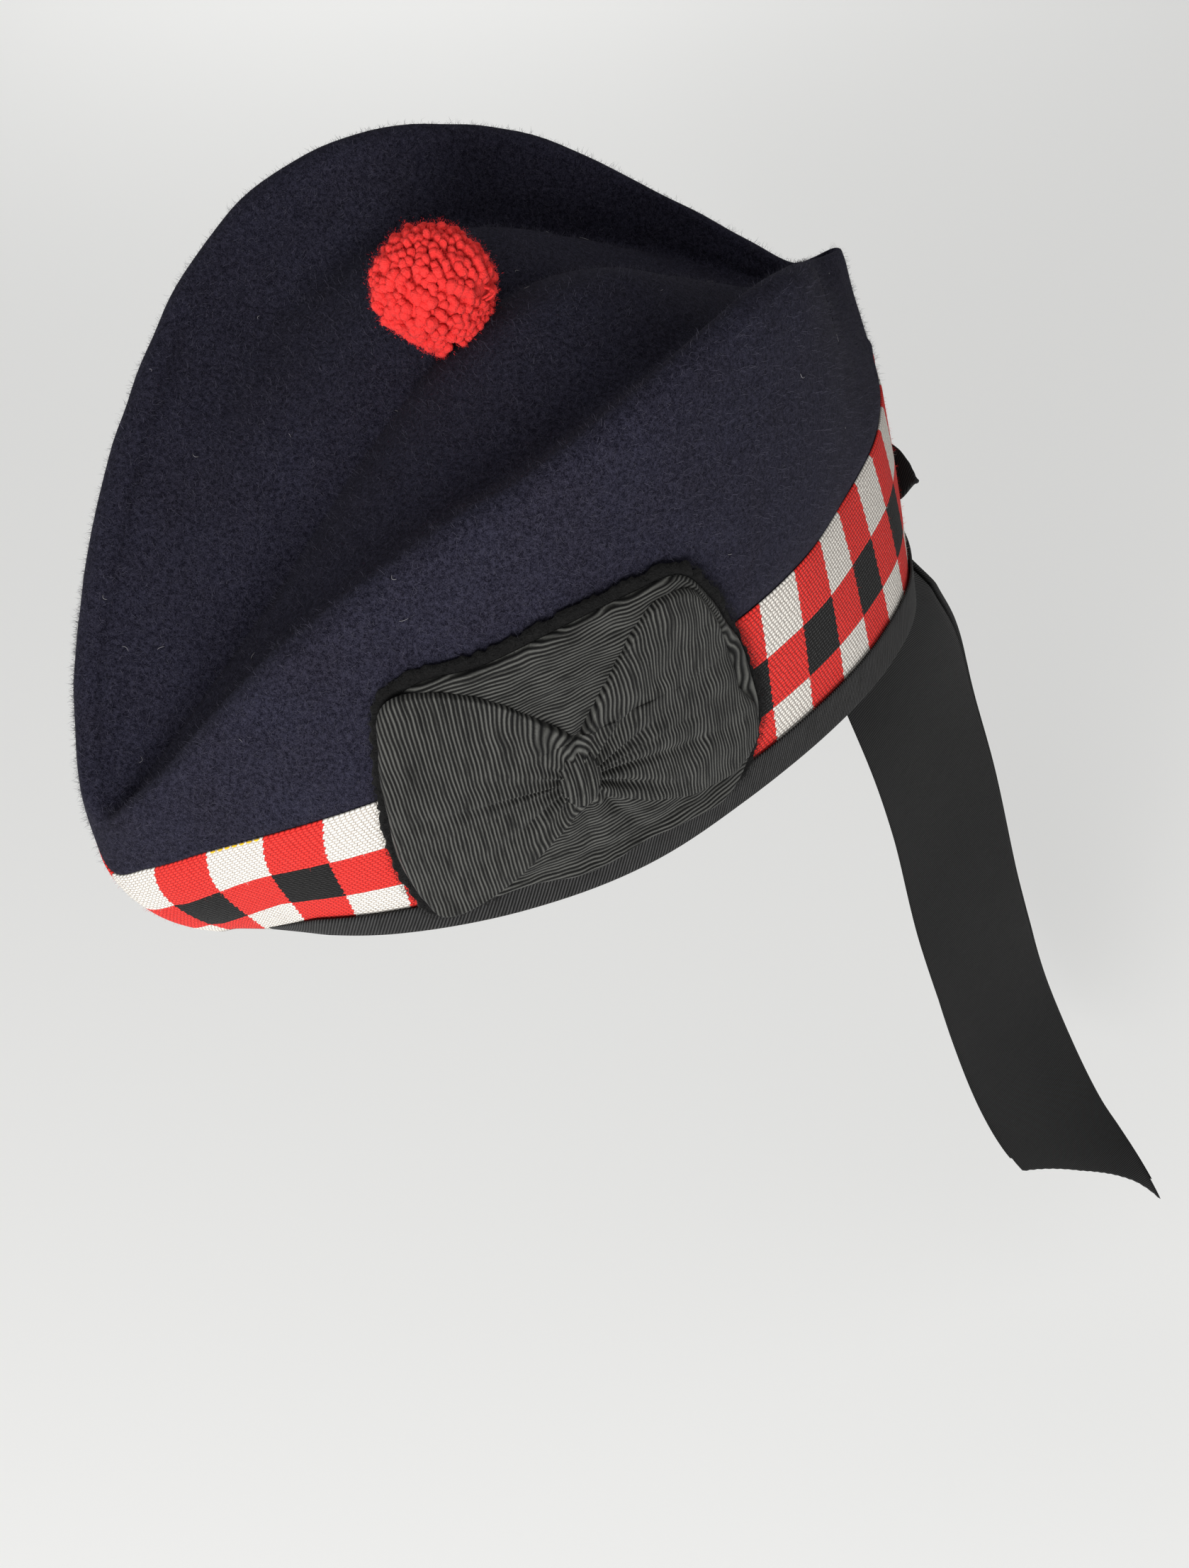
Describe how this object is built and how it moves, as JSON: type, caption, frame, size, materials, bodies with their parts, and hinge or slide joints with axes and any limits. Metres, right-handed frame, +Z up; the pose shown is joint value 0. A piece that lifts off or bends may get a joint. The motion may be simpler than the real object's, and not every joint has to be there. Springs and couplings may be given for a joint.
{
  "type": "glengarry cap",
  "caption": "Folded wool felt cap, boat-shaped, with a diced band, bound edge, ribbon rosette, pompom and hanging ribbon tails.",
  "frame": {"origin": "middle of the head opening, where the hat sits on the head", "axes": "+Z up, +X to the wearer's left, where the rosette is, and the front of the hat to -Y"},
  "size_m": [0.1692, 0.2883, 0.422],
  "materials": {
    "navy_felt": "milled wool felt with a short nap",
    "dicing": "woven red, white and black checks",
    "black_grosgrain": "ribbed ribbon",
    "black_backing": "fuzzy black cloth",
    "red_yarn": "cut and looped wool yarn"
  },
  "bodies": {
    "root": {"felt_body": "navy_felt", "diced_band": "dicing", "edge_binding": "black_grosgrain", "rosette_backing": "black_backing", "rosette_upright_bow": "black_grosgrain", "rosette_cross_bow": "black_grosgrain", "rosette_knot": "black_grosgrain", "toorie": "red_yarn", "back_tie": "black_grosgrain", "tail_left": "black_grosgrain", "tail_right": "black_grosgrain"}
  },
  "joints": []
}
